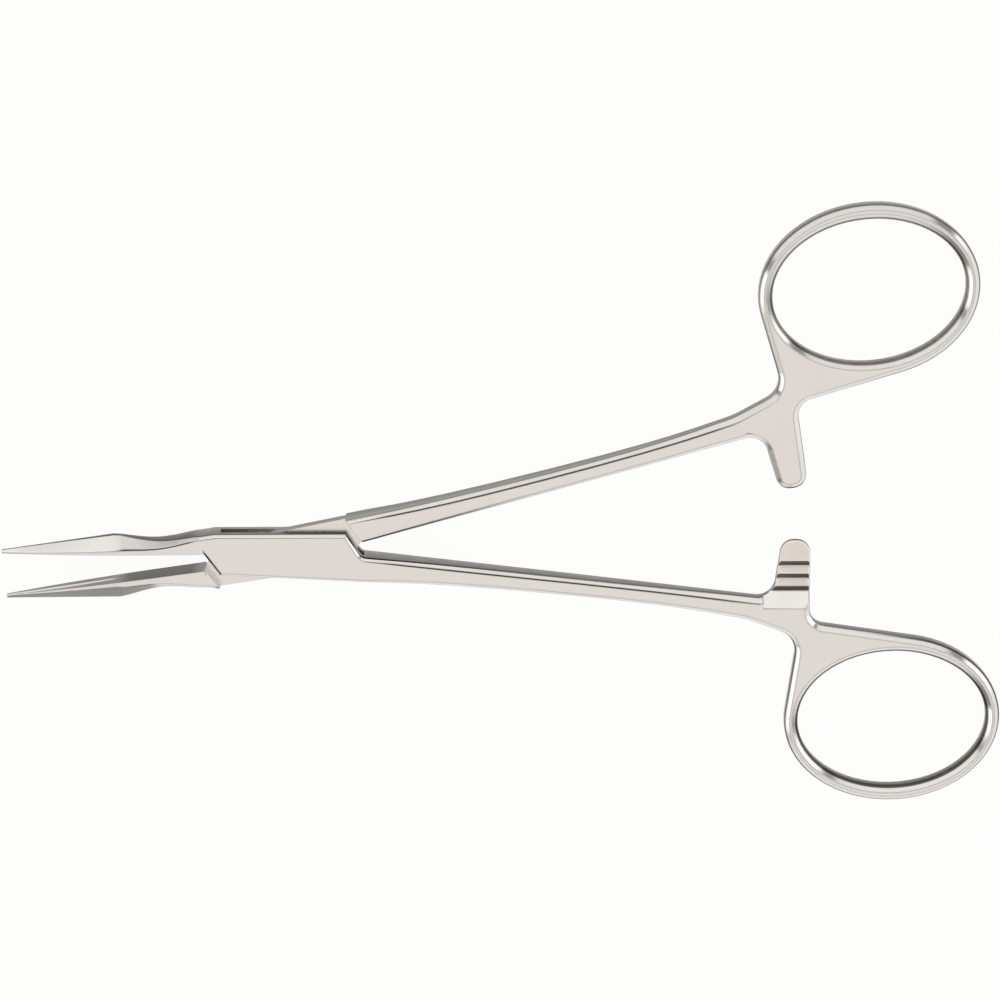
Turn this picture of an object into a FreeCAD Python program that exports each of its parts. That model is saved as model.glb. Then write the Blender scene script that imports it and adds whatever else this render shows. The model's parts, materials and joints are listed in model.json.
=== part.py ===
# Splinter forceps with finger rings, a box lock and a ratchet, millimetres, +Z up.
# The instrument lies flat. The origin is on the underside of the box lock, on the pivot axis.
# -X runs to the jaw tips and +X to the finger rings.
# Each half is drawn as it lies with the jaws closed, and its Placement swings it to the open rest pose.
import FreeCAD, Part
import math
import os
import Sketcher

Vector = FreeCAD.Vector

# Driving dimensions: name, value, meaning
SIZES = [
    ("rest_angle", 4.4, "swing of each half from closed to the rest pose, degrees"),
    ("lock_height", 4.5, "thickness of the box lock"),
    ("slot_height", 1.8, "height of the slot through the box"),
    ("tongue_clearance", 0.05, "gap above and below the tongue in the slot"),
    ("pin_radius", 1.3, "radius of the lock pin"),
    ("pin_clearance", 0.03, "radial running gap of the pin in the tongue"),
    ("box_side", 3.2, "closing line to the jaw-side wall of the box"),
    ("box_front", 9.3, "pivot to the place where the jaw starts to narrow"),
    ("box_back", 8.9, "pivot to the back corner of the jaw-side wall"),
    ("heel_front", 8.6, "pivot to the front corner of the shank-side wall"),
    ("heel_side", 2.8, "closing line to that front corner"),
    ("crotch_back", 11.0, "pivot to the crotch between the shanks"),
    ("crotch_side", 0.2, "closing line to the shank's inner side at the crotch"),
    ("crotch_radius", 1.3, "radius of the crotch between the shanks"),
    ("slot_front", 8.5, "pivot to the slot's front end at the jaw-side wall"),
    ("slot_front_lean", 4.4, "lean of that end over the width of the box"),
    ("slot_back", 9.9, "pivot to the slot's back end at the shank-side wall"),
    ("slot_back_lean", 3.2, "lean of that end over the width of the box"),
    ("shoulder_front", 9.2, "pivot to the tongue's front shoulder at the jaw-side wall"),
    ("shoulder_front_lean", 3.3, "lean of that shoulder over the width of the box"),
    ("shoulder_back", 9.95, "pivot to the tongue's back shoulder at the shank-side wall"),
    ("shoulder_back_lean", 3.2, "lean of that shoulder over the width of the box"),
    ("jaw_start", 10.9, "pivot to the crotch between the jaws, where the jaw begins"),
    ("jaw_length", 38.9, "pivot to the jaw tip"),
    ("jaw_relief", 0.35, "closing line to the jaw face beside the box"),
    ("tip_relief", 0.03, "closing line to the jaw face at the tip"),
    ("root_side", 2.94, "closing line to the outside of the jaw where it begins"),
    ("throat_side", 2.45, "closing line to the outside half-way to the waist"),
    ("throat_bevel", 0.6, "width of the outer bevel there"),
    ("throat_wall", 2.8, "height of the outer wall there"),
    ("waist_x", 17.1, "pivot to the narrowest place of the jaw"),
    ("waist_side", 2.08, "closing line to the outside of the jaw there"),
    ("waist_bevel", 0.85, "width of the outer bevel there"),
    ("waist_wall", 2.0, "height of the outer wall there"),
    ("swell_side", 2.35, "closing line to the outside half-way from the waist to the bulge"),
    ("swell_bevel", 1.3, "width of the outer bevel there"),
    ("swell_wall", 1.2, "height of the outer wall there"),
    ("bulge_x", 23.3, "pivot to the widest place of the jaw, where the straight blade begins"),
    ("bulge_side", 2.8, "closing line to the outside of the jaw there"),
    ("bulge_bevel", 2.05, "width of the outer bevel there"),
    ("bulge_wall", 0.6, "height of the outer wall there"),
    ("tip_side", 0.5, "closing line to the outside of the jaw at the tip"),
    ("tip_bevel", 0.33, "width of the outer bevel at the tip"),
    ("tip_wall", 0.3, "height of the outer wall at the tip"),
    ("tip_height", 0.7, "thickness of the jaw tip"),
    ("tip_power", 2.5, "how late the jaw thins, as a power of the way along it"),
    ("shank_start", 12.4, "pivot to the first section of the shank"),
    ("start_outside", 3.87, "closing line to the shank's outer side there"),
    ("start_inside", 0.33, "closing line to its inner side there"),
    ("near_share", 0.19, "way along the shank to its second section"),
    ("near_outside", 4.4, "closing line to the outer side there"),
    ("near_inside", 1.35, "closing line to the inner side there"),
    ("near_height", 4.0, "thickness of the shank there"),
    ("middle_share", 0.46, "way along the shank to its middle section"),
    ("middle_outside", 5.58, "closing line to the outer side there"),
    ("middle_inside", 2.9, "closing line to the inner side there"),
    ("middle_height", 3.66, "thickness of the shank there"),
    ("far_share", 0.76, "way along the shank to its fourth section"),
    ("far_outside", 7.26, "closing line to the outer side there"),
    ("far_inside", 4.65, "closing line to the inner side there"),
    ("far_height", 3.32, "thickness of the shank there"),
    ("shank_back", 23.1, "finger hole's centre back to the last section of the shank"),
    ("end_outside", 9.25, "closing line to the outer side there"),
    ("end_inside", 6.03, "closing line to the inner side there"),
    ("wrist_back", 20.6, "finger hole's centre back to the place where the shank widens"),
    ("wrist_side", 9.72, "closing line to the outer side there"),
    ("wrist_radius", 12.0, "radius of that bend"),
    ("neck_back", 13.47, "finger hole's centre back to the notch between shank and ring"),
    ("neck_side", 12.4, "closing line to the notch"),
    ("neck_radius", 3.2, "radius of the notch"),
    ("arm_root_back", 17.05, "finger hole's centre back to the ratchet arm at its root"),
    ("arm_root_side", 6.75, "closing line to the arm's root"),
    ("arm_root_radius", 2.5, "radius at the root of the arm"),
    ("arm_tip_back", 15.85, "finger hole's centre back to the near side of the arm's tip"),
    ("arm_width", 4.0, "width of the ratchet arm at its tip"),
    ("arm_reach", 1.5, "closing line to the arm's tip"),
    ("arm_tip_flat", 0.2, "width of the flat left between the two roundings of the arm's tip"),
    ("shoulder_side", 10.3, "closing line to the corner of arm and ring"),
    ("shoulder_radius", 2.3, "radius of that corner"),
    ("shank_height", 3.1, "thickness of the rings and the ratchet arms"),
    ("ring_x", 85.1, "pivot to the centre of the finger hole"),
    ("ring_side", 24.45, "closing line to the centre of the finger hole"),
    ("ring_turn", 2.0, "turn of the ring's long axis, its near end away from the closing line, degrees"),
    ("hole_length", 26.4, "long axis of the finger hole"),
    ("hole_width", 19.9, "short axis of the finger hole"),
    ("ring_wall", 2.2, "width of the ring at its sides"),
    ("ring_end_wall", 1.92, "width of the ring at its ends"),
    ("hole_bevel", 0.9, "bevel round the finger hole"),
    ("box_bevel", 0.45, "bevel along the edges of the box"),
    ("ring_bevel", 0.75, "bevel along the outside of the ring and the arm"),
    ("tooth_pitch", 1.83, "distance from tooth to tooth"),
    ("tooth_depth", 0.55, "depth of a tooth"),
    ("tooth_back", 0.86, "length of a tooth's steep side along the arm"),
    ("tooth_count", 3, "teeth on each arm"),
    ("crest_rise", 0.25, "height of the tooth crests past the mid plane"),
    ("pad_length", 2.8, "arm tip to the first crest"),
    ("pad_drop", 0.65, "fall of the pad from the first crest to the arm's tip"),
    ("root_length", 3.0, "last crest to the end of the cutter's run-out"),
    ("tooth_bevel", 0.3, "bevel along the sides of the teeth and the pad"),
]

VALUES = {name: value for name, value, note in SIZES}

# Places along X that follow the finger hole's centre
SHANK_END = "(ring_x - shank_back)"
WRIST = "(ring_x - wrist_back)"
NECK = "(ring_x - neck_back)"
ARM_ROOT = "(ring_x - arm_root_back)"
ARM_NEAR = "(ring_x - arm_tip_back)"
ARM_FAR = "(ring_x - arm_tip_back + arm_width)"
ARM_MIDDLE = "(ring_x - arm_tip_back + arm_width / 2)"

doc = FreeCAD.newDocument("SplinterForceps")
sheet = doc.addObject("Spreadsheet::Sheet", "Sizes")
for row, (name, value, note) in enumerate(SIZES, start=1):
    sheet.set("A%d" % row, name)
    sheet.set("B%d" % row, str(value))
    sheet.set("C%d" % row, note)
    sheet.setAlias("B%d" % row, name)
doc.recompute()


def size(expression):
    """Write an expression whose names are cells of the sheet."""
    words = []
    word = ""
    for letter in expression + " ":
        if letter.isalpha() or letter == "_":
            word += letter
            continue
        words.append("Sizes." + word if word in VALUES else word)
        words.append(letter)
        word = ""
    return "".join(words).strip()


def add_sketch(body, name, role, offset=None):
    """Add a sketch on one of the body's own planes, moved along its normal by an expression."""
    plane = next(item for item in body.Origin.OriginFeatures if item.Role == role)
    sketch = body.newObject("Sketcher::SketchObject", name)
    sketch.AttachmentSupport = (plane, "")
    sketch.MapMode = "FlatFace"
    if offset:
        sketch.setExpression("AttachmentOffset.Base.z", size(offset))
    return sketch


def pin_point(sketch, element, end, across, along):
    """Hold a point of the sketch at two expressions."""
    spot = sketch.getPoint(element, end)
    for kind, start, expression in (("DistanceX", spot.x, across), ("DistanceY", spot.y, along)):
        index = sketch.addConstraint(Sketcher.Constraint(kind, -1, 1, element, end, start))
        sketch.setExpression("Constraints[%d]" % index, size(expression))


def draw_outline(sketch, points):
    """Draw a closed outline of straight lines through points given as pairs of expressions."""
    count = len(points)
    turns = [2 * math.pi * index / count for index in range(count)]
    rough = [Vector(50 * math.cos(turn), 50 * math.sin(turn), 0) for turn in turns]
    for index in range(count):
        sketch.addGeometry(Part.LineSegment(rough[index], rough[(index + 1) % count]), False)
    for index, (across, along) in enumerate(points):
        sketch.addConstraint(Sketcher.Constraint("Coincident", index, 2, (index + 1) % count, 1))
        pin_point(sketch, index, 1, across, along)


def draw_ellipse(body, side, name, length, width):
    """Sketch an ellipse round the centre of the finger hole, turned as the ring is."""
    sketch = add_sketch(body, name, "XY_Plane")
    sketch.AttachmentOffset = FreeCAD.Placement(Vector(1, 1, 0), FreeCAD.Rotation(Vector(0, 0, 1), 10.0))
    sketch.setExpression("AttachmentOffset.Base.x", size("ring_x"))
    sketch.setExpression("AttachmentOffset.Base.y", size("%d * ring_side" % -side))
    sketch.setExpression("AttachmentOffset.Rotation.Angle", size("%d * ring_turn" % side) + " * 1 deg")
    half_long = VALUES["hole_length"] / 2
    half_short = VALUES["hole_width"] / 2
    sketch.addGeometry(Part.Ellipse(Vector(half_long, 0, 0), Vector(0, half_short, 0), Vector(0, 0, 0)), False)
    sketch.exposeInternalGeometry(0)
    sketch.addConstraint(Sketcher.Constraint("Horizontal", 1))
    for element, start, expression in ((1, 2 * half_long, length), (2, 2 * half_short, width)):
        index = sketch.addConstraint(Sketcher.Constraint("Distance", element, start))
        sketch.setExpression("Constraints[%d]" % index, size(expression))
    sketch.addConstraint(Sketcher.Constraint("Coincident", 0, 3, -1, 1))
    return sketch


def add_pad(body, name, sketch, length):
    """Pad a sketch to both sides of its plane."""
    pad = body.newObject("PartDesign::Pad", name)
    pad.Profile = sketch
    pad.Midplane = True
    pad.setExpression("Length", size(length))
    doc.recompute()
    return pad


def add_pocket(body, name, sketch, length, midplane=True, reverse=False):
    """Cut a sketch out of the body and make sure that it removes metal."""
    before = body.Shape.Volume
    pocket = body.newObject("PartDesign::Pocket", name)
    pocket.Profile = sketch
    pocket.Midplane = midplane
    pocket.Reversed = reverse
    pocket.setExpression("Length", size(length))
    doc.recompute()
    if not body.Shape.Volume < before:
        raise RuntimeError(name + " removes nothing")
    return pocket


def round_corner(body, name, spot, radius):
    """Round the upright edge over a corner of an outline."""
    base = body.Tip
    names = []
    for number, edge in enumerate(base.Shape.Edges, start=1):
        ends = [vertex.Point for vertex in edge.Vertexes]
        if len(ends) == 2 and all(math.hypot(end.x - spot.x, end.y - spot.y) < 1e-4 for end in ends):
            names.append("Edge%d" % number)
    fillet = body.newObject("PartDesign::Fillet", name)
    fillet.Base = (base, names)
    fillet.setExpression("Radius", size(radius))
    doc.recompute()


def add_plate(body, side, name, points, height):
    """Pad an outline of (x, y, corner radius) and round the corners that have a radius."""
    outline = add_sketch(body, name + "Outline", "XY_Plane")
    draw_outline(outline, [(across, "%d * (%s)" % (side, along)) for across, along, radius in points])
    add_pad(body, name, outline, height)
    spots = [outline.getPoint(index, 1) for index in range(len(points))]
    for number, (spot, point) in enumerate(zip(spots, points)):
        if point[2]:
            round_corner(body, "%sCorner_%d" % (name, number), spot, point[2])


def bevel_edges(body, name, width, wanted, sloping=False):
    """Bevel the level edges, or those that slope down the ratchet arm, that pass the test."""
    base = body.Tip
    names = []
    for number, edge in enumerate(base.Shape.Edges, start=1):
        middle = edge.valueAt((edge.FirstParameter + edge.LastParameter) / 2)
        direction = edge.tangentAt(edge.FirstParameter)
        fits = direction.y * direction.z < -0.01 if sloping else abs(direction.z) < 0.01
        if fits and wanted(middle):
            names.append("Edge%d" % number)
    bevel = body.newObject("PartDesign::Chamfer", name)
    bevel.Base = (base, names)
    bevel.setExpression("Size", size(width))
    doc.recompute()


def ring_tangent(corner_x, corner_side, turn):
    """Point where a line from a corner of the outline touches the ring, on its near or far side."""
    half_length = "(hole_length / 2 + ring_end_wall)"
    half_width = "(hole_width / 2 + ring_wall)"
    cosine, sine = "cos(ring_turn)", "sin(ring_turn)"
    back, aside = "(%s - ring_x)" % corner_x, "(ring_side - %s)" % corner_side
    across = "((%s * %s + %s * %s) / %s)" % (back, cosine, aside, sine, half_length)
    along = "((%s * %s - %s * %s) / %s)" % (aside, cosine, back, sine, half_width)
    direction = "(atan2(%s; %s) %s acos(1 / hypot(%s; %s)))" % (along, across, turn, across, along)
    reach_x = "%s * cos(%s)" % (half_length, direction)
    reach_y = "%s * sin(%s)" % (half_width, direction)
    touch_x = "ring_x + %s * %s - %s * %s" % (reach_x, cosine, reach_y, sine)
    touch_y = "-ring_side + %s * %s + %s * %s" % (reach_x, sine, reach_y, cosine)
    return touch_x, touch_y, None


def add_ring(body, side):
    """The plate of ring, wrist and ratchet arm, with its finger hole and bevels."""
    add_plate(body, side, "Wrist", [
        (SHANK_END, "-end_outside", None),
        (WRIST, "-wrist_side", "wrist_radius"),
        (NECK, "-neck_side", "neck_radius"),
        ring_tangent(NECK, "neck_side", "+"),
        ("ring_x", "-ring_side", None),
        ring_tangent(ARM_FAR, "shoulder_side", "-"),
        (ARM_FAR, "-shoulder_side", "shoulder_radius"),
        (ARM_FAR, "arm_reach", "(arm_width - arm_tip_flat) / 2"),
        (ARM_NEAR, "arm_reach", "(arm_width - arm_tip_flat) / 2"),
        (ARM_ROOT, "-arm_root_side", "arm_root_radius"),
        (SHANK_END, "-end_inside", None),
    ], "shank_height")
    disc = draw_ellipse(body, side, "RingOutline", "hole_length + 2 * ring_end_wall", "hole_width + 2 * ring_wall")
    add_pad(body, "Ring", disc, "shank_height")
    hole = draw_ellipse(body, side, "FingerHole", "hole_length", "hole_width")
    add_pocket(body, "FingerHoleCut", hole, "lock_height")
    turn = FreeCAD.Rotation(Vector(0, 0, 1), -side * VALUES["ring_turn"])
    centre = Vector(VALUES["ring_x"], -side * VALUES["ring_side"], 0)

    def on_hole(point):
        spot = turn.multVec(point - centre)
        across = 2 * spot.x / VALUES["hole_length"]
        along = 2 * spot.y / VALUES["hole_width"]
        return abs(math.hypot(across, along) - 1) < 0.01

    def on_outside(point):
        return not on_hole(point) and point.x > VALUES["ring_x"] - VALUES["shank_back"] + 0.01

    bevel_edges(body, "RingBevel", "ring_bevel", on_outside)
    bevel_edges(body, "HoleBevel", "hole_bevel", on_hole)


def add_box(body, side):
    """The block of the box lock, with the bevel along its edges."""
    add_plate(body, side, "Box", [
        ("-heel_front", "-heel_side", None),
        ("shank_start", "-start_outside", None),
        ("shank_start", "-start_inside", None),
        ("crotch_back", "-crotch_side", "crotch_radius"),
        ("box_back", "box_side", None),
        ("-box_front", "box_side", None),
        ("-jaw_start", "root_side", None),
        ("-jaw_start", "jaw_relief", None),
    ], "lock_height")

    def on_box(point):
        return -VALUES["jaw_start"] + 0.01 < point.x < VALUES["shank_start"] - 0.01

    bevel_edges(body, "BoxBevel", "box_bevel", on_box)


def sloped(bevel, rise, run):
    """Width of a bevel in a plane across the part, where its edge slopes to that plane's normal."""
    return "%s * hypot(1; (%s) / (%s))" % (bevel, rise, run)


def add_shank(body, side):
    """Loft the shank from the box to the wrist."""
    start_outer = sloped("box_bevel", "start_outside - heel_side", "shank_start + heel_front")
    start_inner = sloped("box_bevel", "start_inside - crotch_side", "shank_start - crotch_back")
    end_outer = sloped("ring_bevel", "wrist_side - end_outside", "shank_back - wrist_back")
    end_inner = sloped("ring_bevel", "arm_root_side - end_inside", "shank_back - arm_root_back")
    middle = "(box_bevel + ring_bevel) / 2"
    along = "(shank_start + (ring_x - shank_back - shank_start) * %s)"
    sections = [
        ("shank_start", "start_outside", "start_inside", "lock_height", start_outer, start_inner, "box_bevel"),
        (along % "near_share", "near_outside", "near_inside", "near_height", middle, middle, middle),
        (along % "middle_share", "middle_outside", "middle_inside", "middle_height", middle, middle, middle),
        (along % "far_share", "far_outside", "far_inside", "far_height", middle, middle, middle),
        (SHANK_END, "end_outside", "end_inside", "shank_height", end_outer, end_inner, "ring_bevel"),
    ]
    outlines = []
    for across, outside, inside, height, outer, inner, down in sections:
        outlines.append((across, [
            ("-%s" % outside, "%s - %s / 2" % (down, height)),
            ("-%s" % outside, "%s / 2 - (%s)" % (height, down)),
            ("%s - %s" % (outer, outside), "%s / 2" % height),
            ("-%s - (%s)" % (inside, inner), "%s / 2" % height),
            ("-%s" % inside, "%s / 2 - (%s)" % (height, down)),
            ("-%s" % inside, "%s - %s / 2" % (down, height)),
            ("-%s - (%s)" % (inside, inner), "-%s / 2" % height),
            ("%s - %s" % (outer, outside), "-%s / 2" % height),
        ]))
    add_loft(body, side, "Shank", outlines)


def add_loft(body, side, name, outlines):
    """Loft through outlines, each a distance along X and its points in the plane across it."""
    sketches = []
    for number, (across, points) in enumerate(outlines, start=1):
        section = add_sketch(body, "%sSection_%d" % (name, number), "YZ_Plane", across)
        draw_outline(section, [("%d * (%s)" % (side, y), z) for y, z in points])
        sketches.append(section)
    doc.recompute()
    before = body.Shape.Volume
    loft = body.newObject("PartDesign::AdditiveLoft", name)
    loft.Profile = sketches[0]
    loft.Sections = sketches[1:]
    doc.recompute()
    if not body.Shape.Volume > before:
        raise RuntimeError("the loft adds nothing: " + name)


def lean_line(edge, lean, wall, direction):
    """Two points of a leaning line across the box, well clear of both walls."""
    width = "(box_side + heel_side)"
    points = []
    for along in ("2 * box_side", "-2 * box_side"):
        across = "%s + %s * ((%s) - (%s)) / %s" % (edge, lean, along, wall, width)
        points.append((across, along))
    return points if direction > 0 else points[::-1]


def between_lines(side, name):
    """Outline between the leaning front and back ends of the slot or the tongue."""
    front = lean_line("-%s_front" % name, "%s_front_lean" % name, "box_side", 1)
    back = lean_line("%s_back" % name, "%s_back_lean" % name, "-heel_side", -1)
    return [(across, "%d * (%s)" % (side, along)) for across, along in front + back]


def cut_slot(body, side):
    """Cut the slot for the tongue through the box."""
    slot = add_sketch(body, "Slot", "XY_Plane")
    draw_outline(slot, between_lines(side, "slot"))
    add_pocket(body, "SlotCut", slot, "slot_height")


def cut_tongue(body, side):
    """Thin the middle of the half to a tongue, from above and from below."""
    for face in (1, -1):
        name = "TongueTop" if face > 0 else "TongueBottom"
        shoulders = add_sketch(body, name, "XY_Plane", "%d * (slot_height / 2 - tongue_clearance)" % face)
        draw_outline(shoulders, between_lines(side, "shoulder"))
        add_pocket(body, name + "Cut", shoulders, "lock_height", midplane=False, reverse=face > 0)


def cut_teeth(body, side):
    """Thin the ratchet arm to its teeth, on top of one half and under the other.

    The recess ends in the steep side of the last tooth and the run-out behind it."""
    reach = "arm_width + 2 * arm_root_radius"
    first = "(arm_reach - pad_length)"
    last = "(arm_reach - pad_length - (tooth_count - 1) * tooth_pitch)"
    recess = [
        ("arm_reach + pad_length", "lock_height"),
        ("arm_reach + pad_length", "crest_rise - 2 * pad_drop"),
        (first, "crest_rise"),
        (last, "crest_rise"),
        (last + " - tooth_back", "crest_rise - tooth_depth"),
        (last + " - root_length", "shank_height / 2"),
        (last + " - root_length", "lock_height"),
    ]
    tooth = [
        (first, "crest_rise"),
        (first + " - tooth_back", "crest_rise - tooth_depth"),
        (first + " - tooth_pitch", "crest_rise"),
        (first + " - tooth_pitch / 2", "crest_rise + tooth_depth"),
    ]
    for name, points in (("Recess", recess), ("Tooth", tooth)):
        profile = add_sketch(body, name, "YZ_Plane", ARM_MIDDLE)
        draw_outline(profile, [("%d * (%s)" % (side, y), "%d * (%s)" % (side, z)) for y, z in points])
        pocket = add_pocket(body, name + "Cut", profile, reach)
    before = body.Shape.Volume
    teeth = body.newObject("PartDesign::LinearPattern", "Teeth")
    teeth.Originals = [pocket]
    axis = next(item for item in body.Origin.OriginFeatures if item.Role == "Y_Axis")
    teeth.Direction = (axis, [""])
    teeth.Reversed = side > 0
    teeth.setExpression("Length", size("tooth_pitch * (tooth_count - 2)"))
    teeth.setExpression("Occurrences", size("tooth_count - 1"))
    body.Tip = teeth
    doc.recompute()
    if not body.Shape.Volume < before:
        raise RuntimeError("the row of teeth isn't cut")
    first_crest = VALUES["arm_reach"] - VALUES["pad_length"]
    last_crest = first_crest - (VALUES["tooth_count"] - 1) * VALUES["tooth_pitch"]
    bevel_edges(body, "ToothBevel", "tooth_bevel", lambda point: side * point.y > last_crest, sloping=True)


def add_jaw(body, side):
    """Loft the jaw, the smooth neck from the box to the bulge and the straight blade to the tip."""
    root = sloped("box_bevel", "box_side - root_side", "jaw_start - box_front")
    bulge = ("bulge_x", "bulge_side", "bulge_bevel", "bulge_wall")
    middle = ["(bulge_%s + %s) / 2" % pair for pair in (
        ("x", "jaw_length"), ("side", "tip_side"), ("bevel", "tip_bevel"), ("wall", "tip_wall"))]
    neck = [
        ("jaw_start", "root_side", root, "lock_height - 2 * box_bevel"),
        ("(jaw_start + waist_x) / 2", "throat_side", "throat_bevel", "throat_wall"),
        ("waist_x", "waist_side", "waist_bevel", "waist_wall"),
        ("(waist_x + bulge_x) / 2", "swell_side", "swell_bevel", "swell_wall"),
        bulge,
    ]
    blade = [bulge, middle, ("jaw_length", "tip_side", "tip_bevel", "tip_wall")]
    for name, sections in (("JawNeck", neck), ("JawBlade", blade)):
        outlines = []
        for across, outside, inward, wall in sections:
            share = "((%s - jaw_start) / (jaw_length - jaw_start))" % across
            relief = "jaw_relief + (tip_relief - jaw_relief) * %s" % share
            high = "(lock_height - (lock_height - tip_height) * pow(%s; tip_power)) / 2" % share
            outlines.append(("-(%s)" % across, [
                (relief, "-" + high),
                ("%s - (%s)" % (outside, inward), "-" + high),
                (outside, "-(%s) / 2" % wall),
                (outside, "(%s) / 2" % wall),
                ("%s - (%s)" % (outside, inward), high),
                (relief, high),
            ]))
        add_loft(body, side, name, outlines)


def add_round(body, name, radius):
    """Sketch a circle on the pivot axis."""
    circle = add_sketch(body, name, "XY_Plane")
    circle.addGeometry(Part.Circle(Vector(0, 0, 0), Vector(0, 0, 1), 1.0), False)
    circle.addConstraint(Sketcher.Constraint("Coincident", 0, 3, -1, 1))
    index = circle.addConstraint(Sketcher.Constraint("Radius", 0, 1.0))
    circle.setExpression("Constraints[%d]" % index, size(radius))
    return circle


def place(body, side):
    """Lay the body on the ground plane and swing it to the rest pose."""
    body.Placement = FreeCAD.Placement(Vector(0, 0, 1), FreeCAD.Rotation(Vector(0, 0, 1), 10.0))
    body.setExpression("Placement.Base.z", size("lock_height / 2"))
    body.setExpression("Placement.Rotation.Angle", size("%d * rest_angle" % -side) + " * 1 deg")


def make_half(label, side):
    """One half of the instrument; the side says which side of the closing line its jaw is on."""
    body = doc.addObject("PartDesign::Body", label)
    body.Label = label
    body.AllowCompound = True
    add_ring(body, side)
    cut_teeth(body, side)
    add_box(body, side)
    add_shank(body, side)
    add_jaw(body, side)
    if side > 0:
        cut_slot(body, side)
        bore = "pin_radius"
    else:
        cut_tongue(body, side)
        bore = "pin_radius + pin_clearance"
    add_pocket(body, "PinBore", add_round(body, "PinBoreCircle", bore), "2 * lock_height")
    place(body, side)
    return body


def make_pin():
    """The rivet through the box and the tongue, ground flush with both faces."""
    body = doc.addObject("PartDesign::Body", "lock_pin")
    body.Label = "lock_pin"
    add_pad(body, "Pin", add_round(body, "PinCircle", "pin_radius"), "lock_height")
    place(body, 1)
    return body


bodies = [make_half("box_half", 1), make_half("tongue_half", -1), make_pin()]
doc.recompute()
for item in doc.Objects:
    if "Invalid" in item.State or "Error" in item.State:
        raise RuntimeError(item.Name + " didn't compute")
for body in bodies:
    if body.Shape.isNull() or not body.Shape.isValid() or len(body.Shape.Solids) != 1:
        raise RuntimeError(body.Label + " isn't one valid solid")
os.makedirs("parts", exist_ok=True)
for body in bodies:
    body.Shape.exportStep("parts/%s.step" % body.Label)
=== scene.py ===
"""Splinter forceps: the looks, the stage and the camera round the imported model, in metres.

The instrument lies along X, jaws towards the negative end, with its pivot over the origin."""

import json
import math

import bmesh
import bpy
from bpy.props import FloatProperty, FloatVectorProperty, PointerProperty
from mathutils import Matrix, Vector

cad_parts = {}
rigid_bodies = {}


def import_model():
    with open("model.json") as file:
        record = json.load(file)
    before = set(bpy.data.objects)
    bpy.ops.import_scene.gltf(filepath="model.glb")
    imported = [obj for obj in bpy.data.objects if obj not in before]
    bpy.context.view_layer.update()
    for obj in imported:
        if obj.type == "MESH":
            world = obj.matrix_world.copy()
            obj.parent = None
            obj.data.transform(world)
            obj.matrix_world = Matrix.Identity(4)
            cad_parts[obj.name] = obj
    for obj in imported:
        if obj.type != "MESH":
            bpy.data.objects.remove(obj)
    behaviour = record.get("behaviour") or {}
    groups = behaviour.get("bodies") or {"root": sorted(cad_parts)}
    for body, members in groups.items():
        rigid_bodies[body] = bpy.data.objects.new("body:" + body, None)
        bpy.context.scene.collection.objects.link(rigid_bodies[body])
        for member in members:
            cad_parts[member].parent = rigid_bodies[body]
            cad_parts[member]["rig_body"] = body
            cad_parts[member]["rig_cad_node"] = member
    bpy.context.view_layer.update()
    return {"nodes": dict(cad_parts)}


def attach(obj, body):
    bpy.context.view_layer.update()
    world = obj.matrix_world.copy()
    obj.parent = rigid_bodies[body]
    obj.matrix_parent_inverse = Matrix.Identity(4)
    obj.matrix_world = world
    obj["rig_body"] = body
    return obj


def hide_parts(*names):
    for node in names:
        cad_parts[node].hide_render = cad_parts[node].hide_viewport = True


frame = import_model()

bl_info = {
    "name": "Splinter forceps",
    "version": (1, 0, 0),
    "blender": (4, 5, 0),
    "location": "3D View > Sidebar > Forceps",
    "description": "Finishes the two halves and the lock pin and sets up the studio",
    "category": "Object",
}

MM = 0.001

# Half the opening angle: each half is turned this far about the pivot from closed
SWING = math.radians(4.4)
# Middle of the instrument's thickness
MID_HEIGHT = 2.25 * MM
# The blade of each jaw: where it begins ahead of the pivot, its length, half its thickness there,
# and what that loses evenly and with the square of the way to the tip
BULGE = 23.3 * MM
BLADE = 15.6 * MM
BLADE_HALF, BLADE_LOSS, BLADE_TIP_LOSS = 2.0 * MM, 0.6 * MM, 1.05 * MM
# The painted highlight on its gripping side: its middle and half its width as shares of half
# the thickness, each where the blade begins and at the tip, then how it fades to its edges and
# where it begins
LIGHT_MIDDLE, LIGHT_WIDTH = (-0.1, 0.5), (0.16, 0.66)
LIGHT_FADE, LIGHT_START = (0.45, 1.0), (-0.02, 0.06)

# Merging and rounding: doubles, faces that are one plane, edges that are part of a curve
MERGE_GAP = 0.0005 * MM
ONE_PLANE = math.radians(0.05)
CURVE_ANGLE = math.radians(18.0)
SMOOTH_ANGLE = math.radians(40.0)
# Places whose edges stay sharp: a distance from the middle of the pin or of the slot's corners,
# and the last part of the tip
RIVET, RIVET_RIM = (0.0, 0.0), 1.4 * MM
SLOT_CORNER, CORNER_RIM = (-10.8 * MM, 1.5 * MM), 0.8 * MM
TIP_START = -38.0 * MM
# Stretches of X whose ridges are rounded fully
NECK_EDGES = (-23.0 * MM, -12.0 * MM)
SHANK_EDGES = (12.0 * MM, 66.0 * MM)
# Shares of the rounding: fully, beside the faces and elsewhere
FULL, BESIDE_FACE, SLIGHT = 1.0, 0.6, 0.25

# Lift is how flat a surface lies: the size of its normal's Z, 0 on a side and 1 on a face.
# These bound the sides, what slants enough to be a bevel or a ridge, and the faces
UPRIGHT, BEVEL_START, RIDGE_START, FACE_START = 0.3, 0.5, 0.6, 0.93

# Masks go from 0 at the first number to 1 at the second, and back at the third and fourth.
# By lift
FACE_LIFT = (0.93, 0.99)
SLANT_LIFT = (0.35, 0.66)
RIDGE_LIFT = (0.76, 0.86, 0.97, 0.995)
# By one part of the normal
BARELY = (0.1, 0.3)
PARTLY = (0.3, 0.5)
STEEPLY = (0.35, 0.5)
MOSTLY = (0.6, 0.8)
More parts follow.
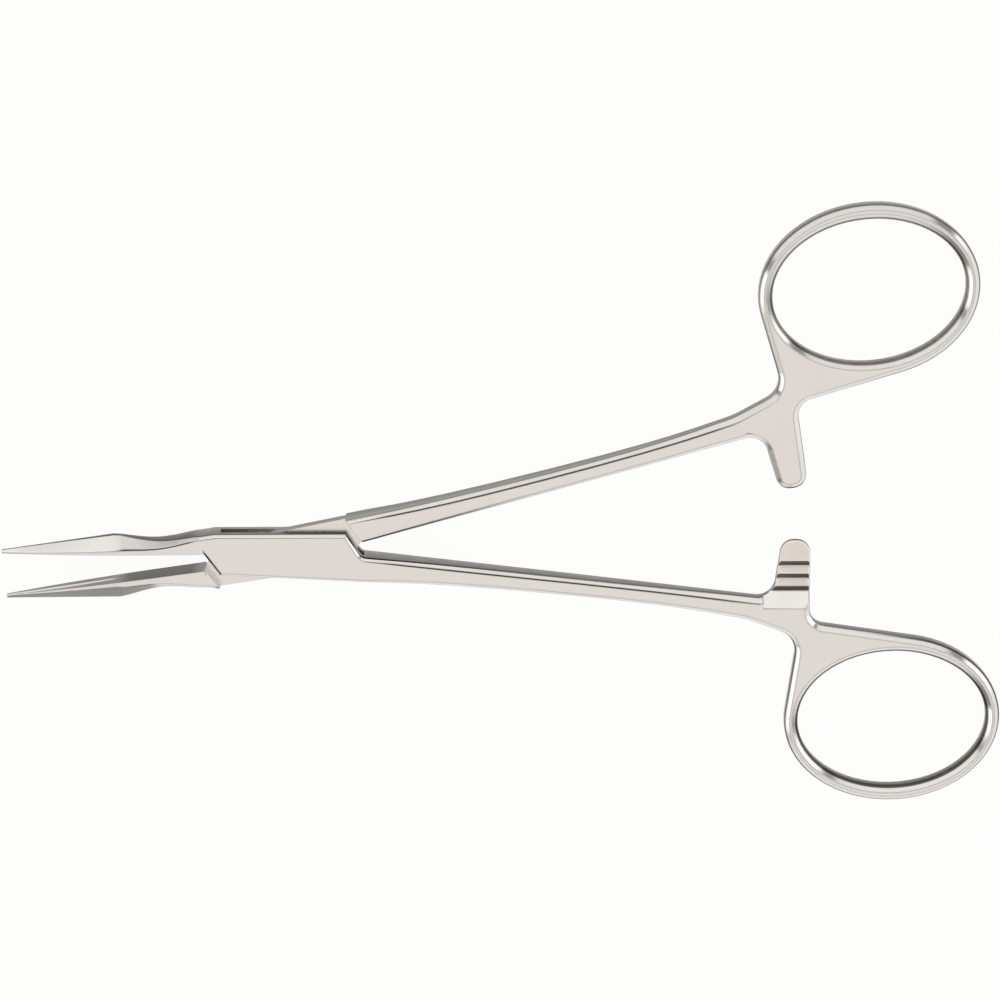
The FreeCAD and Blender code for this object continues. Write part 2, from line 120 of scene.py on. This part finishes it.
# By distance from the pivot along the instrument
RING = (65.0 * MM, 72.0 * MM)
NECK = (11.0 * MM, 13.0 * MM, 21.5 * MM, 23.5 * MM)
SHANK = (12.0 * MM, 16.0 * MM, 60.0 * MM, 68.0 * MM)
JAW = (9.0 * MM, 12.0 * MM)
JAW_FACET = (17.0 * MM, 19.0 * MM)
SHOULDER = (4.0 * MM, 5.0 * MM, 14.0 * MM, 15.0 * MM)
TOOTHED_ARM = (67.0 * MM, 67.4 * MM)
# By distance from the closing line, negative on the ring's side
RING_INSIDE = (-13.0 * MM, -11.0 * MM)
TEETH = (-5.95 * MM, -5.85 * MM)
CUT_FLANKS = (-5.0 * MM, -4.8 * MM)
# By distance from the middle of the thickness
# The band of painted shade round the ring
RIM_HEIGHT = (0.95 * MM, 1.12 * MM)

# The shades of each form: the colour of the finish that it takes, and how much of it at both ends
# of its pattern, or one share where it has none. The side, jaw side, shank line, neck line, jaw
# facet and tooth side are painted shade, the shoulders and the jaw light painted highlights
SHADES = {
    "ground": ("steel", 0.9, 1.08),
    "satin": ("steel", 1.23, 1.38),
    "bevel": ("polish", 0.94, 1.0),
    "shoulder": ("polish", 1.0),
    "jaw light": ("polish", 0.85),
    "side": ("wall", 1.35, 0.5),
    "jaw side": ("wall", 0.7),
    "shank line": ("dark", 0.6),
    "neck line": ("dark", 0.3),
    "jaw facet": ("dark", 1.0),
    "tooth side": ("dark", 0.35, 0.7),
}
# Patterns: how the grain is drawn out, how fine its streaks are beside it, and the clouds
DRAWN_OUT = (0.035, 1.0, 1.0)
STREAK_SCALE = 0.22
CLOUD_SCALE = 0.14 / MM
# What the grain and the streaks have in the lines, and how far the lines change the tone
GRAIN_SHARE, STREAK_SHARE = 0.7, 0.9
LINES_TONE = 0.1
# How deep the lines are, how strongly they show, and how much of that is left on the teeth
LINES_DEPTH = 0.004 * MM
LINES_STRENGTH, TEETH_LINES = 0.25, 0.5
# Where a pattern turns from one shade to the other, and how far the streaks stir the sides' fade
CLOUD_TURN, STREAK_TURN = (0.3, 0.75), (0.3, 0.7)
SIDE_TURN, SIDE_STREAKS = (-0.7, 0.5), 1.6
# Roughness of faces and polish, how much the patterns change it, and what some forms add
ROUGH_FACE, ROUGH_POLISH, ROUGH_GRAIN, ROUGH_CLOUD = 0.3, 0.13, 0.16, 0.1
ROUGH_TEETH, ROUGH_RING, ROUGH_NECK = 0.25, 0.3, 0.25

# The studio: the point below the middle of the instrument, and the softboxes that face it.
# Each has its name, place, sides and how bright it looks, where 1 is white
STAGE_MIDDLE = (0.03, 0.0, 0.0)
SOFTBOXES = [
    ("overhead", (0.03, -0.3, 0.9), (1.1, 1.05), 0.5),
    ("far_strip", (-0.08, 0.78, 0.45), (2.4, 0.75), 0.65),
    ("near_strip", (0.03, -0.8, 0.36), (1.8, 0.6), 0.35),
    ("left_strip", (-0.75, -0.1, 0.12), (0.7, 0.2), 1.3),
    ("right_strip", (0.8, -0.01, 0.12), (0.88, 0.2), 1.3),
]
# The room at the horizon and overhead, and where it changes; the dark patch in it: which way it
# is, the cosines of its rim and its tint
ROOM_LOW, ROOM_HIGH = (0.26, 0.26, 0.262, 1.0), (0.56, 0.56, 0.556, 1.0)
ROOM_RISE = (0.0, 0.8)
PATCH_WAY, PATCH_RIM = (0.017, 0.469, 0.883), (0.965, 0.985)
PATCH_TINT = (0.02, 0.02, 0.02, 1.0)
# The floor is seen mostly as white, and the rest of it takes the shadow
FLOOR_WHITE = (1.0, 1.0, 0.995, 1.0)
FLOOR_GLOW = 0.96


class ForcepsFinish(bpy.types.PropertyGroup):
    """Finish of the steel, and the colours of the shade and highlights painted on it"""
    steel: FloatVectorProperty(
        name="Ground steel", description="Colour of the ground faces", subtype="COLOR", size=3,
        min=0.0, max=1.0, default=(0.722, 0.673, 0.64))
    polish: FloatVectorProperty(
        name="Polished steel", description="Colour of the bright bevels", subtype="COLOR", size=3,
        min=0.0, max=1.0, default=(0.8, 0.77, 0.742))
    # Colour of the painted shade on the upright sides, standing in for their dark reflections
    wall: FloatVectorProperty(
        name="Side walls", description="Colour of the upright sides", subtype="COLOR", size=3,
        min=0.0, max=1.0, default=(0.16, 0.144, 0.128))
    # Colour of painted shade: the jaw's facet, the ridge lines and the steep tooth sides
    dark: FloatVectorProperty(
        name="Painted shade colour", description="Colour of the jaw's facet, ridge lines and tooth sides",
        subtype="COLOR", size=3, min=0.0, max=1.0, default=(0.27, 0.25, 0.23))
    edge_radius: FloatProperty(
        name="Edge radius", description="Rounding that polishing leaves on the long edges",
        unit="LENGTH", min=0.0, default=0.2 * MM)
    grain_width: FloatProperty(
        name="Grain", description="Width of the finest grinding lines", unit="LENGTH", min=0.0,
        default=0.05 * MM)


class ForcepsStudio(bpy.types.PropertyGroup):
    """Stage, lights and camera"""
    floor: FloatVectorProperty(
        name="Floor", description="Colour of the floor", subtype="COLOR", size=3, min=0.0, max=1.0,
        default=(0.95, 0.95, 0.945))
    floor_size: FloatProperty(
        name="Floor size", description="Side of the floor", unit="LENGTH", default=3.0)
    camera_place: FloatVectorProperty(
        name="Camera", description="Place of the camera", subtype="TRANSLATION", unit="LENGTH",
        size=3, default=(39.6 * MM, 158.84 * MM, 516.3 * MM))
    camera_target: FloatVectorProperty(
        name="Target", description="Point the camera looks at", subtype="TRANSLATION",
        unit="LENGTH", size=3, default=(30.67 * MM, 5.83 * MM, 4.5 * MM))
    camera_roll: FloatProperty(
        name="Roll", description="Turn of the instrument in the picture", unit="ROTATION",
        default=math.radians(4.547))
    field_of_view: FloatProperty(
        name="Field of view", description="Angle of view across the picture", unit="ROTATION",
        default=math.radians(14.67))


class Wire:
    """A shader socket that can be used in Python expressions."""

    def __init__(self, tree, socket):
        self.tree = tree
        self.socket = socket

    def node(self, kind, settings=None, output=0, **inputs):
        """Add any node: its settings first, then the values or links of its sockets."""
        made = self.tree.nodes.new(kind)
        for name, value in (settings or {}).items():
            setattr(made, name, value)
        for name, value in inputs.items():
            numbered = name[0] == "_" and name[1:].isdigit()
            key = int(name[1:]) if numbered else name.replace("_", " ")
            if isinstance(value, Wire):
                self.tree.links.new(value.socket, made.inputs[key])
            else:
                made.inputs[key].default_value = value
        return Wire(self.tree, made.outputs[output])

    def maths(self, operation, *values, clamp=False):
        """Add a Math node for the values."""
        settings = {"operation": operation, "use_clamp": clamp}
        sockets = {"_%d" % index: value for index, value in enumerate(values)}
        return self.node("ShaderNodeMath", settings, **sockets)

    def __add__(self, other):
        return self.maths("ADD", self, other)

    def __radd__(self, other):
        return self.maths("ADD", other, self)

    def __sub__(self, other):
        return self.maths("SUBTRACT", self, other)

    def __rsub__(self, other):
        return self.maths("SUBTRACT", other, self)

    def __mul__(self, other):
        return self.maths("MULTIPLY", self, other)

    def __rmul__(self, other):
        return self.maths("MULTIPLY", other, self)

    def __truediv__(self, other):
        return self.maths("DIVIDE", self, other)

    def size(self):
        """The value without its sign."""
        return self.maths("ABSOLUTE", self)

    def or_more(self, other):
        """The larger of two values."""
        return self.maths("MAXIMUM", self, other)

    def plus_held(self, other):
        """The sum, kept between 0 and 1."""
        return self.maths("ADD", self, other, clamp=True)

    def ramp(self, low, high):
        """Rise smoothly from 0 at low to 1 at high."""
        settings = {"interpolation_type": "SMOOTHSTEP"}
        return self.node("ShaderNodeMapRange", settings, Value=self, From_Min=low, From_Max=high)

    def stretch(self, rise, full, fall, end):
        """1 between full and fall, and 0 before rise and after end."""
        return self.ramp(rise, full) * (1.0 - self.ramp(fall, end))

    def glide(self, first, last):
        """Go evenly from first to last as the value goes from 0 to 1."""
        return self * (last - first) + first

    def blend(self, first, second):
        """Mix two colours by this value."""
        settings = {"data_type": "RGBA"}
        return self.node("ShaderNodeMix", settings, output=2, _0=self, _6=first, _7=second)

    def parts(self):
        """The three parts of a vector."""
        return [self.node("ShaderNodeSeparateXYZ", Vector=self, output=index) for index in range(3)]


def new_material(name):
    """A material with its shader ready, and a wire to start expressions from."""
    material = bpy.data.materials.new(name)
    material.use_nodes = True
    tree = material.node_tree
    return material, tree.nodes["Principled BSDF"], Wire(tree, None)


def feed(shader, **inputs):
    """Set the shader's sockets or link them."""
    for name, value in inputs.items():
        socket = shader.inputs[name.replace("_", " ")]
        if isinstance(value, Wire):
            value.tree.links.new(value.socket, socket)
        else:
            socket.default_value = value


def shades(finish, form):
    """The colours of a form, made darker or lighter, for the sockets of a node."""
    source, *shares = SHADES[form]
    tone = getattr(finish, source)
    return [(*[min(1.0, part * share) for part in tone], 1.0) for share in shares]


def painted_blade_highlight(ahead, level):
    """A painted highlight in a wedge along the gripping side of the blade, widening to the tip."""
    share = (ahead - BULGE) / BLADE
    half_height = BLADE_HALF - share * BLADE_LOSS - share * share * BLADE_TIP_LOSS
    away = (level / half_height - share.glide(*LIGHT_MIDDLE)).size() / share.glide(*LIGHT_WIDTH)
    return (1.0 - away.ramp(*LIGHT_FADE)) * share.ramp(*LIGHT_START)


def steel_material(name, side, finish):
    """Steel ground along the instrument on its faces, bright on its bevels, with painted shade and
    highlights on its sides and painted dark lines on its ridges.

    The side is 1 or -1: on which side of the closing line the half has its jaw."""
    material, shader, start = new_material(name)
    place = start.node("ShaderNodeTexCoord", output=3)
    closed = start.node("ShaderNodeMapping", {"vector_type": "TEXTURE"}, Vector=place,
                        Rotation=(0.0, 0.0, -side * SWING))
    along, aside, height = closed.parts()
    endwise, facing, upward = start.node("ShaderNodeTexCoord", output=1).parts()
    ahead = 0.0 - along
    beside = aside * side
    level = height - MID_HEIGHT
    lift = upward.size()

    # The forms of the half
    face = lift.ramp(*FACE_LIFT)
    ridge = lift.stretch(*RIDGE_LIFT)
    ring = along.ramp(*RING)
    # Painted shade: the ring's outer band near the middle of its thickness takes the dark side
    # colour
    rim = (1.0 - level.size().ramp(*RIM_HEIGHT)) * ring * (1.0 - beside.ramp(*RING_INSIDE))
    # Where the sides take their painted shade: the upright sides and the band round the ring
    wall = (1.0 - lift.ramp(*SLANT_LIFT)).or_more(rim)
    neck = ahead.stretch(*NECK) * facing.ramp(*BARELY)
    shank = along.stretch(*SHANK) * facing.ramp(*BARELY)
    teeth = along.ramp(*TOOTHED_ARM) * beside.ramp(*TEETH) * (1.0 - wall) * (
        upward * side).ramp(*BARELY)
    # Painted shade on the steep sides of the teeth
    steep = (facing * -side).ramp(*STEEPLY) * teeth
    # Painted highlights on the sides that face along the instrument: the tongue's shoulders on both
    #     sides of the pivot, the box's end beside the jaws
    reach = ahead if side > 0 else ahead.size()
    shoulder = endwise.size().ramp(*PARTLY) * reach.stretch(*SHOULDER)

    # The grinding lines run along the instrument, and the clouds lie anyhow
    drawn = start.node("ShaderNodeMapping", {"vector_type": "POINT"}, Vector=closed,
                       Scale=DRAWN_OUT)
    grain = start.node("ShaderNodeTexNoise", Vector=drawn, Scale=1.0 / finish.grain_width,
                       Detail=4.0, Roughness=0.65)
    streak = start.node("ShaderNodeTexNoise", Vector=drawn,
                        Scale=STREAK_SCALE / finish.grain_width, Detail=3.0, Roughness=0.6)
    cloud = start.node("ShaderNodeTexNoise", Vector=place, Scale=CLOUD_SCALE, Detail=3.0,
                       Roughness=0.55)
    lines = (grain - 0.5) * GRAIN_SHARE + (streak - 0.5) * STREAK_SHARE
    tone = (lines * LINES_TONE).plus_held(0.5)

    ground = tone.blend(*shades(finish, "ground"))
    bright = cloud.ramp(*CLOUD_TURN).blend(*shades(finish, "bevel"))
    # Painted shade on the sides: darkest at the top on one half and at the bottom on the other
    fade = level * (side / MID_HEIGHT) + (streak - 0.5) * SIDE_STREAKS
    painted_sides = fade.ramp(*SIDE_TURN).blend(*shades(finish, "side"))
    # Painted dark lines along the ridges of the shank and the neck, as painted reflections
    bright = (ridge * shank).blend(bright, *shades(finish, "shank line"))
    if side > 0:
        bright = (ridge * neck).blend(bright, *shades(finish, "neck line"))
    else:
        # Painted shade on the jaw's facet that faces -Y
        facet = ahead.ramp(*JAW_FACET) * (0.0 - facing).ramp(*PARTLY)
        bright = facet.blend(bright, *shades(finish, "jaw facet"))
        # Painted shade: the jaw's sides darker than the other sides
        painted_sides = ahead.ramp(*JAW).blend(painted_sides, *shades(finish, "jaw side"))
        # Painted highlight along the gripping side of the jaw
        light = painted_blade_highlight(ahead, level) * facing.ramp(*MOSTLY)
        painted_sides = light.blend(painted_sides, *shades(finish, "jaw light"))
    # Painted highlight on the shoulders and the box's end
    painted_sides = shoulder.blend(painted_sides, *shades(finish, "shoulder"))

    # The ratchet arm: satin crests and flanks, and painted shade on the steep sides
    satin = tone.blend(*shades(finish, "satin"))
    satin = beside.ramp(*CUT_FLANKS).blend(ground, satin)
    painted_tooth_shade = streak.ramp(*STREAK_TURN).blend(*shades(finish, "tooth side"))
    shade = wall.blend(face.blend(bright, ground), painted_sides)
    shade = steep.blend(teeth.blend(shade, satin), painted_tooth_shade)

    rough_face = ROUGH_FACE + lines * ROUGH_GRAIN + (cloud - 0.5) * ROUGH_CLOUD
    soft = face * rough_face + (1.0 - face) * (ROUGH_POLISH + cloud * ROUGH_CLOUD)
    soft = soft + teeth * ROUGH_TEETH + ridge * ring * ROUGH_RING
    soft = soft + neck * (1.0 - ridge) * ROUGH_NECK
    bump = start.node("ShaderNodeBump", Strength=LINES_STRENGTH, Distance=LINES_DEPTH,
                      Height=lines * (face + teeth * TEETH_LINES))
    feed(shader, Base_Color=shade, Metallic=1.0, Roughness=soft, Normal=bump)
    return material


def pick(*objects):
    """Select only these objects and make the first one active."""
    bpy.ops.object.select_all(action="DESELECT")
    for item in objects:
        item.select_set(True)
    bpy.context.view_layer.objects.active = objects[0]


def copy_node(node, name):
    """A merged copy of a CAD node's mesh, as a piece of its own."""
    pick(frame["nodes"][node])
    bpy.ops.object.duplicate()
    piece = bpy.context.view_layer.objects.active
    piece.name = name
    piece.data.name = name
    pick(piece)
    bpy.ops.object.parent_clear(type="CLEAR_KEEP_TRANSFORM")
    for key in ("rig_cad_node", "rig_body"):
        if key in piece:
            del piece[key]
    bpy.ops.object.mode_set(mode="EDIT")
    bpy.ops.mesh.select_all(action="SELECT")
    bpy.ops.mesh.remove_doubles(threshold=MERGE_GAP)
    bpy.ops.mesh.customdata_custom_splitnormals_clear()
    bpy.ops.mesh.dissolve_limited(angle_limit=ONE_PLANE)
    bpy.ops.object.mode_set(mode="OBJECT")
    return piece


def lies_in(edge, low, high):
    """Whether both ends of an edge lie between two places along the instrument."""
    return all(low < point.co.x < high for point in edge.verts)


def lies_near(edge, place, reach):
    """Whether both ends of an edge lie near a place, or near the same place across the middle."""
    return all(math.hypot(point.co.x - place[0], abs(point.co.y) - place[1]) < reach
               for point in edge.verts)


def stays_sharp(edge):
    """Whether an edge is left alone: hollow, part of a curve, or where pieces meet closely."""
    if len(edge.link_faces) != 2 or not edge.is_convex or edge.calc_face_angle() < CURVE_ANGLE:
        return True
    return (lies_near(edge, RIVET, RIVET_RIM) or lies_near(edge, SLOT_CORNER, CORNER_RIM)
            or lies_in(edge, -math.inf, TIP_START))


def weigh_edges(piece):
    """Say how far each edge is rounded: fully along bevels and ridges, less elsewhere."""
    shape = bmesh.new()
    shape.from_mesh(piece.data)
    weight = shape.edges.layers.float.new("bevel_weight_edge")
    for edge in shape.edges:
        if stays_sharp(edge):
            continue
        steeper, flatter = sorted(abs(face.normal.z) for face in edge.link_faces)
        along_bevel = steeper < UPRIGHT and BEVEL_START < flatter < FACE_START
        at_face = UPRIGHT < steeper < FACE_START and flatter > RIDGE_START
        if along_bevel or at_face and (lies_in(edge, *NECK_EDGES) or lies_in(edge, *SHANK_EDGES)):
            edge[weight] = FULL
        else:
            edge[weight] = BESIDE_FACE if at_face else SLIGHT
    shape.to_mesh(piece.data)
    shape.free()


def round_edges(piece, radius):
    """Round the weighed edges as polishing does, and keep the flat faces flat in the light."""
    weigh_edges(piece)
    pick(piece)
    bpy.ops.object.shade_smooth_by_angle(angle=SMOOTH_ANGLE)
    bpy.ops.object.modifier_add(type="BEVEL")
    bevel = piece.modifiers[-1]
    bevel.width = radius
    bevel.segments = 3
    bevel.limit_method = "WEIGHT"
    bevel.use_clamp_overlap = False
    bevel.miter_outer = "MITER_ARC"
    bpy.ops.object.modifier_apply(modifier=bevel.name)
    bpy.ops.object.shade_smooth_by_angle(angle=SMOOTH_ANGLE)
    bpy.ops.object.modifier_add(type="WEIGHTED_NORMAL")
    flat = piece.modifiers[-1]
    flat.keep_sharp = True
    flat.weight = 100
    bpy.ops.object.modifier_apply(modifier=flat.name)


def finish_piece(context, node, side, body, radius_share=1.0):
    """Make a rounded steel copy of a CAD node, which stands for the node and rides its body."""
    finish = context.scene.forceps_finish
    piece = copy_node(node, node + "_steel")
    round_edges(piece, finish.edge_radius * radius_share)
    piece.data.materials.clear()
    piece.data.materials.append(steel_material(node + "_steel", side, finish))
    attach(piece, body)
    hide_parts(node)
    return {"FINISHED"}


class FORCEPS_OT_box_half(bpy.types.Operator):
    """Finish the half with the slotted box"""
    bl_idname = "forceps.box_half"
    bl_label = "Box half"

    def execute(self, context):
        return finish_piece(context, "box_half", 1, "box_half")


class FORCEPS_OT_tongue_half(bpy.types.Operator):
    """Finish the half with the tongue"""
    bl_idname = "forceps.tongue_half"
    bl_label = "Tongue half"

    def execute(self, context):
        return finish_piece(context, "tongue_half", -1, "tongue_half")


class FORCEPS_OT_lock_pin(bpy.types.Operator):
    """Finish the rivet of the box lock, which rides with the box"""
    bl_idname = "forceps.lock_pin"
    bl_label = "Lock pin"

    def execute(self, context):
        return finish_piece(context, "lock_pin", 1, "box_half", radius_share=0.5)


class FORCEPS_OT_stage(bpy.types.Operator):
    """Lay the floor and light it softly"""
    bl_idname = "forceps.stage"
    bl_label = "Stage and lights"

    def execute(self, context):
        self.lay_floor(context)
        self.light_world(context)
        for softbox in SOFTBOXES:
            self.add_softbox(*softbox)
        return {"FINISHED"}

    def lay_floor(self, context):
        """A pale floor that looks white from the camera and in the steel, and takes a shadow."""
        studio = context.scene.forceps_studio
        bpy.ops.object.select_all(action="DESELECT")
        bpy.ops.mesh.primitive_plane_add(size=studio.floor_size, location=STAGE_MIDDLE)
        floor = context.view_layer.objects.active
        floor.name = "floor"
        bpy.ops.object.transform_apply(location=True, rotation=False, scale=False)
        material, shader, start = new_material("pale_floor")
        feed(shader, Base_Color=(*studio.floor, 1.0), Roughness=0.9, Specular_IOR_Level=0.0)
        camera = start.node("ShaderNodeLightPath", output=0)
        glossy = start.node("ShaderNodeLightPath", output=3)
        through = start.node("ShaderNodeLightPath", output=6)
        seen = (camera + glossy).plus_held(through)
        white = start.node("ShaderNodeEmission", Color=FLOOR_WHITE, Strength=1.0)
        plain = Wire(start.tree, shader.outputs[0])
        mixed = start.node("ShaderNodeMixShader", _0=seen * FLOOR_GLOW, _1=plain, _2=white)
        start.tree.links.new(mixed.socket, start.tree.nodes["Material Output"].inputs[0])
        floor.data.materials.append(material)

    def light_world(self, context):
        """A pale room, brighter overhead, with a dark patch above the far strip."""
        world = bpy.data.worlds.new("room")
        context.scene.world = world
        world.use_nodes = True
        start = Wire(world.node_tree, None)
        direction = start.node("ShaderNodeTexCoord", output=0)
        up = start.node("ShaderNodeSeparateXYZ", Vector=direction, output=2)
        tint = up.ramp(*ROOM_RISE).blend(ROOM_LOW, ROOM_HIGH)
        near = start.node("ShaderNodeVectorMath", {"operation": "DOT_PRODUCT"}, output=1,
                          _0=direction, _1=PATCH_WAY)
        tint = near.ramp(*PATCH_RIM).blend(tint, PATCH_TINT)
        feed(start.tree.nodes["Background"], Color=tint, Strength=1.0)

    def add_softbox(self, name, place, sides, glow):
        """An oblong lamp that faces the instrument and isn't seen by the camera."""
        away = Vector(place) - Vector(STAGE_MIDDLE)
        turn = away.to_track_quat("Z", "Y").to_euler()
        bpy.ops.object.light_add(type="AREA", location=place, rotation=turn)
        lamp = bpy.context.view_layer.objects.active
        lamp.name = name
        lamp.data.shape = "RECTANGLE"
        lamp.data.size, lamp.data.size_y = sides
        lamp.data.energy = glow * math.pi * sides[0] * sides[1]
        lamp.visible_camera = False


class FORCEPS_OT_camera(bpy.types.Operator):
    """Set up the camera as the photograph was taken"""
    bl_idname = "forceps.camera"
    bl_label = "Camera"

    def execute(self, context):
        studio = context.scene.forceps_studio
        place = Vector(studio.camera_place)
        back = (place - Vector(studio.camera_target)).normalized()
        level = Vector((math.cos(studio.camera_roll), -math.sin(studio.camera_roll), 0.0))
        right = (level - level.dot(back) * back).normalized()
        turn = Matrix((right, back.cross(right), back)).transposed().to_4x4()
        bpy.ops.object.camera_add(location=place)
        camera = context.view_layer.objects.active
        camera.matrix_world = Matrix.Translation(place) @ turn
        camera.data.sensor_width = 36.0
        camera.data.angle = studio.field_of_view
        camera.data.clip_start = 0.01
        camera.data.clip_end = 10.0
        context.scene.camera = camera
        return {"FINISHED"}


class FORCEPS_PT_panel(bpy.types.Panel):
    """The pieces of the forceps and their stage"""
    bl_label = "Splinter forceps"
    bl_idname = "FORCEPS_PT_panel"
    bl_space_type = "VIEW_3D"
    bl_region_type = "UI"
    bl_category = "Forceps"

    def draw(self, context):
        for group in (context.scene.forceps_finish, context.scene.forceps_studio):
            for name in group.__annotations__:
                self.layout.prop(group, name)
        for operator in STEPS:
            self.layout.operator(operator.bl_idname)


STEPS = [
    FORCEPS_OT_box_half,
    FORCEPS_OT_tongue_half,
    FORCEPS_OT_lock_pin,
    FORCEPS_OT_stage,
    FORCEPS_OT_camera,
]
CLASSES = [ForcepsFinish, ForcepsStudio, *STEPS, FORCEPS_PT_panel]


def register():
    for item in CLASSES:
        bpy.utils.register_class(item)
    bpy.types.Scene.forceps_finish = PointerProperty(type=ForcepsFinish)
    bpy.types.Scene.forceps_studio = PointerProperty(type=ForcepsStudio)


def unregister():
    del bpy.types.Scene.forceps_studio
    del bpy.types.Scene.forceps_finish
    for item in reversed(CLASSES):
        bpy.utils.unregister_class(item)


def main():
    """Make every piece and the studio."""
    register()
    bpy.context.scene.view_settings.view_transform = "Standard"
    bpy.ops.forceps.box_half()
    bpy.ops.forceps.tongue_half()
    bpy.ops.forceps.lock_pin()
    bpy.ops.forceps.stage()
    bpy.ops.forceps.camera()


if __name__ == "__main__":
    main()
